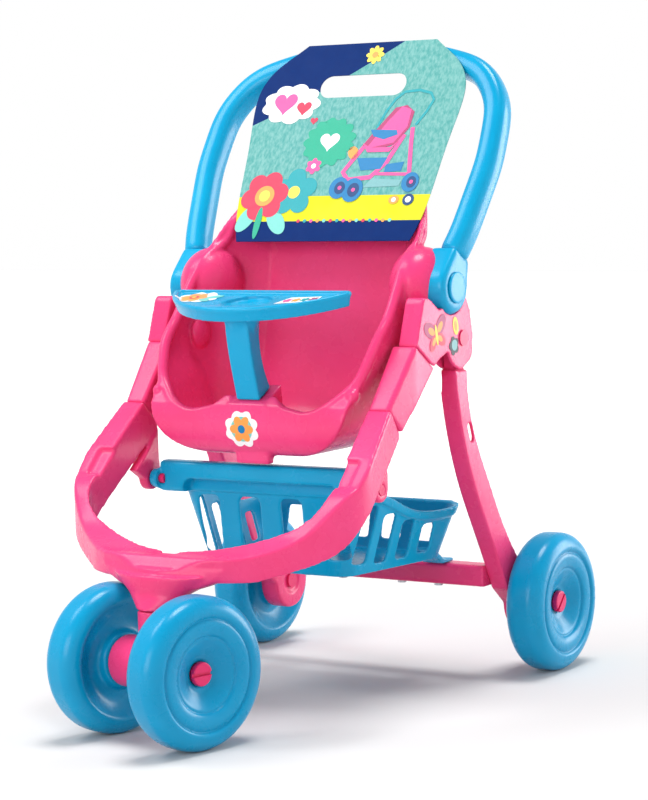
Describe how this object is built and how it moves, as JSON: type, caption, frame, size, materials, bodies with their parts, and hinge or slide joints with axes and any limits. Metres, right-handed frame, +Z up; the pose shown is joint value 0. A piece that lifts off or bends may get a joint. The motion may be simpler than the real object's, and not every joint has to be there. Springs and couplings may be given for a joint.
{
  "type": "doll stroller",
  "caption": "Three-cornered toy pushchair for a doll with bucket seat, play tray, basket, folding U handle, twin caster front wheels and folding rear legs.",
  "frame": {"origin": "on the floor, at the centre of the footprint (bottom centre of the bounding box)", "axes": "+Z up; the front of the stroller (bow and caster) faces -Y; +X is the side on the right when seen from the front"},
  "size_m": [0.3118, 0.4644, 0.5023],
  "materials": {
    "pink_plastic": "glossy moulded plastic",
    "pin_plastic": "glossy moulded plastic",
    "blue_plastic": "glossy moulded plastic",
    "wheel_plastic": "glossy blow-moulded plastic",
    "fastener_steel": "zinc plated",
    "printed_card": "coated printed card"
  },
  "bodies": {
    "front_frame": {"front_bow": "pink_plastic", "seat_bucket": "pink_plastic", "front_rail_left": "pink_plastic", "side_bracket_left": "pink_plastic", "seat_screw_left": "fastener_steel", "leg_pivot_pin_left": "pin_plastic", "basket_pivot_pin_left": "pin_plastic", "handle_pivot_pin_left": "pin_plastic", "front_rail_right": "pink_plastic", "side_bracket_right": "pink_plastic", "seat_screw_right": "fastener_steel", "leg_pivot_pin_right": "pin_plastic", "basket_pivot_pin_right": "pin_plastic", "handle_pivot_pin_right": "pin_plastic"},
    "front_caster": {"caster_body": "pink_plastic", "caster_kingpin": "fastener_steel", "front_axle_pin_left": "pin_plastic", "front_axle_pin_right": "pin_plastic"},
    "front_left_wheel": {"front_wheel_left": "wheel_plastic"},
    "front_right_wheel": {"front_wheel_right": "wheel_plastic"},
    "rear_frame": {"rear_leg_left": "pink_plastic", "rear_leg_right": "pink_plastic", "rear_crossbar": "pink_plastic", "crossbar_screws": "fastener_steel", "rear_axle_pin_left": "pin_plastic", "rear_axle_pin_right": "pin_plastic"},
    "rear_left_wheel": {"rear_wheel_left": "wheel_plastic"},
    "rear_right_wheel": {"rear_wheel_right": "wheel_plastic"},
    "basket": {"basket": "blue_plastic"},
    "handle": {"handle_tube": "blue_plastic", "handle_hub_left": "blue_plastic", "handle_hub_right": "blue_plastic", "hub_cap_left": "blue_plastic", "hub_cap_right": "blue_plastic", "header_card": "printed_card"},
    "tray": {"tray": "blue_plastic"}
  },
  "joints": [
    {"name": "caster_swivel", "type": "hinge", "parent": "front_frame", "child": "front_caster", "pos_m": [0, -0.16333, 0.094], "axis": [0, 0, 1], "continuous": true},
    {"name": "front_left_wheel_spin", "type": "hinge", "parent": "front_caster", "child": "front_left_wheel", "pos_m": [-0.0435, -0.15705, 0.055], "axis": [0.9732, -0.23, 0], "continuous": true},
    {"name": "front_right_wheel_spin", "type": "hinge", "parent": "front_caster", "child": "front_right_wheel", "pos_m": [0.0435, -0.17761, 0.055], "axis": [0.9732, -0.23, 0], "continuous": true},
    {"name": "rear_fold", "type": "hinge", "parent": "front_frame", "child": "rear_frame", "pos_m": [0, 0.07267, 0.273], "axis": [1, 0, 0], "range_deg": [-36, 0]},
    {"name": "rear_left_wheel_spin", "type": "hinge", "parent": "rear_frame", "child": "rear_left_wheel", "pos_m": [-0.1399, 0.17717, 0.055], "axis": [1, 0, 0], "continuous": true},
    {"name": "rear_right_wheel_spin", "type": "hinge", "parent": "rear_frame", "child": "rear_right_wheel", "pos_m": [0.1399, 0.17717, 0.055], "axis": [1, 0, 0], "continuous": true},
    {"name": "basket_lift", "type": "hinge", "parent": "front_frame", "child": "basket", "pos_m": [0, -0.02533, 0.168], "axis": [1, 0, 0], "range_deg": [0, 25]},
    {"name": "handle_fold", "type": "hinge", "parent": "front_frame", "child": "handle", "pos_m": [0, 0.05767, 0.312], "axis": [1, 0, 0], "range_deg": [0, 85]},
    {"name": "tray_lift", "type": "slide", "parent": "front_frame", "child": "tray", "axis": [0, 0, 1], "range_m": [0, 0.016]}
  ]
}
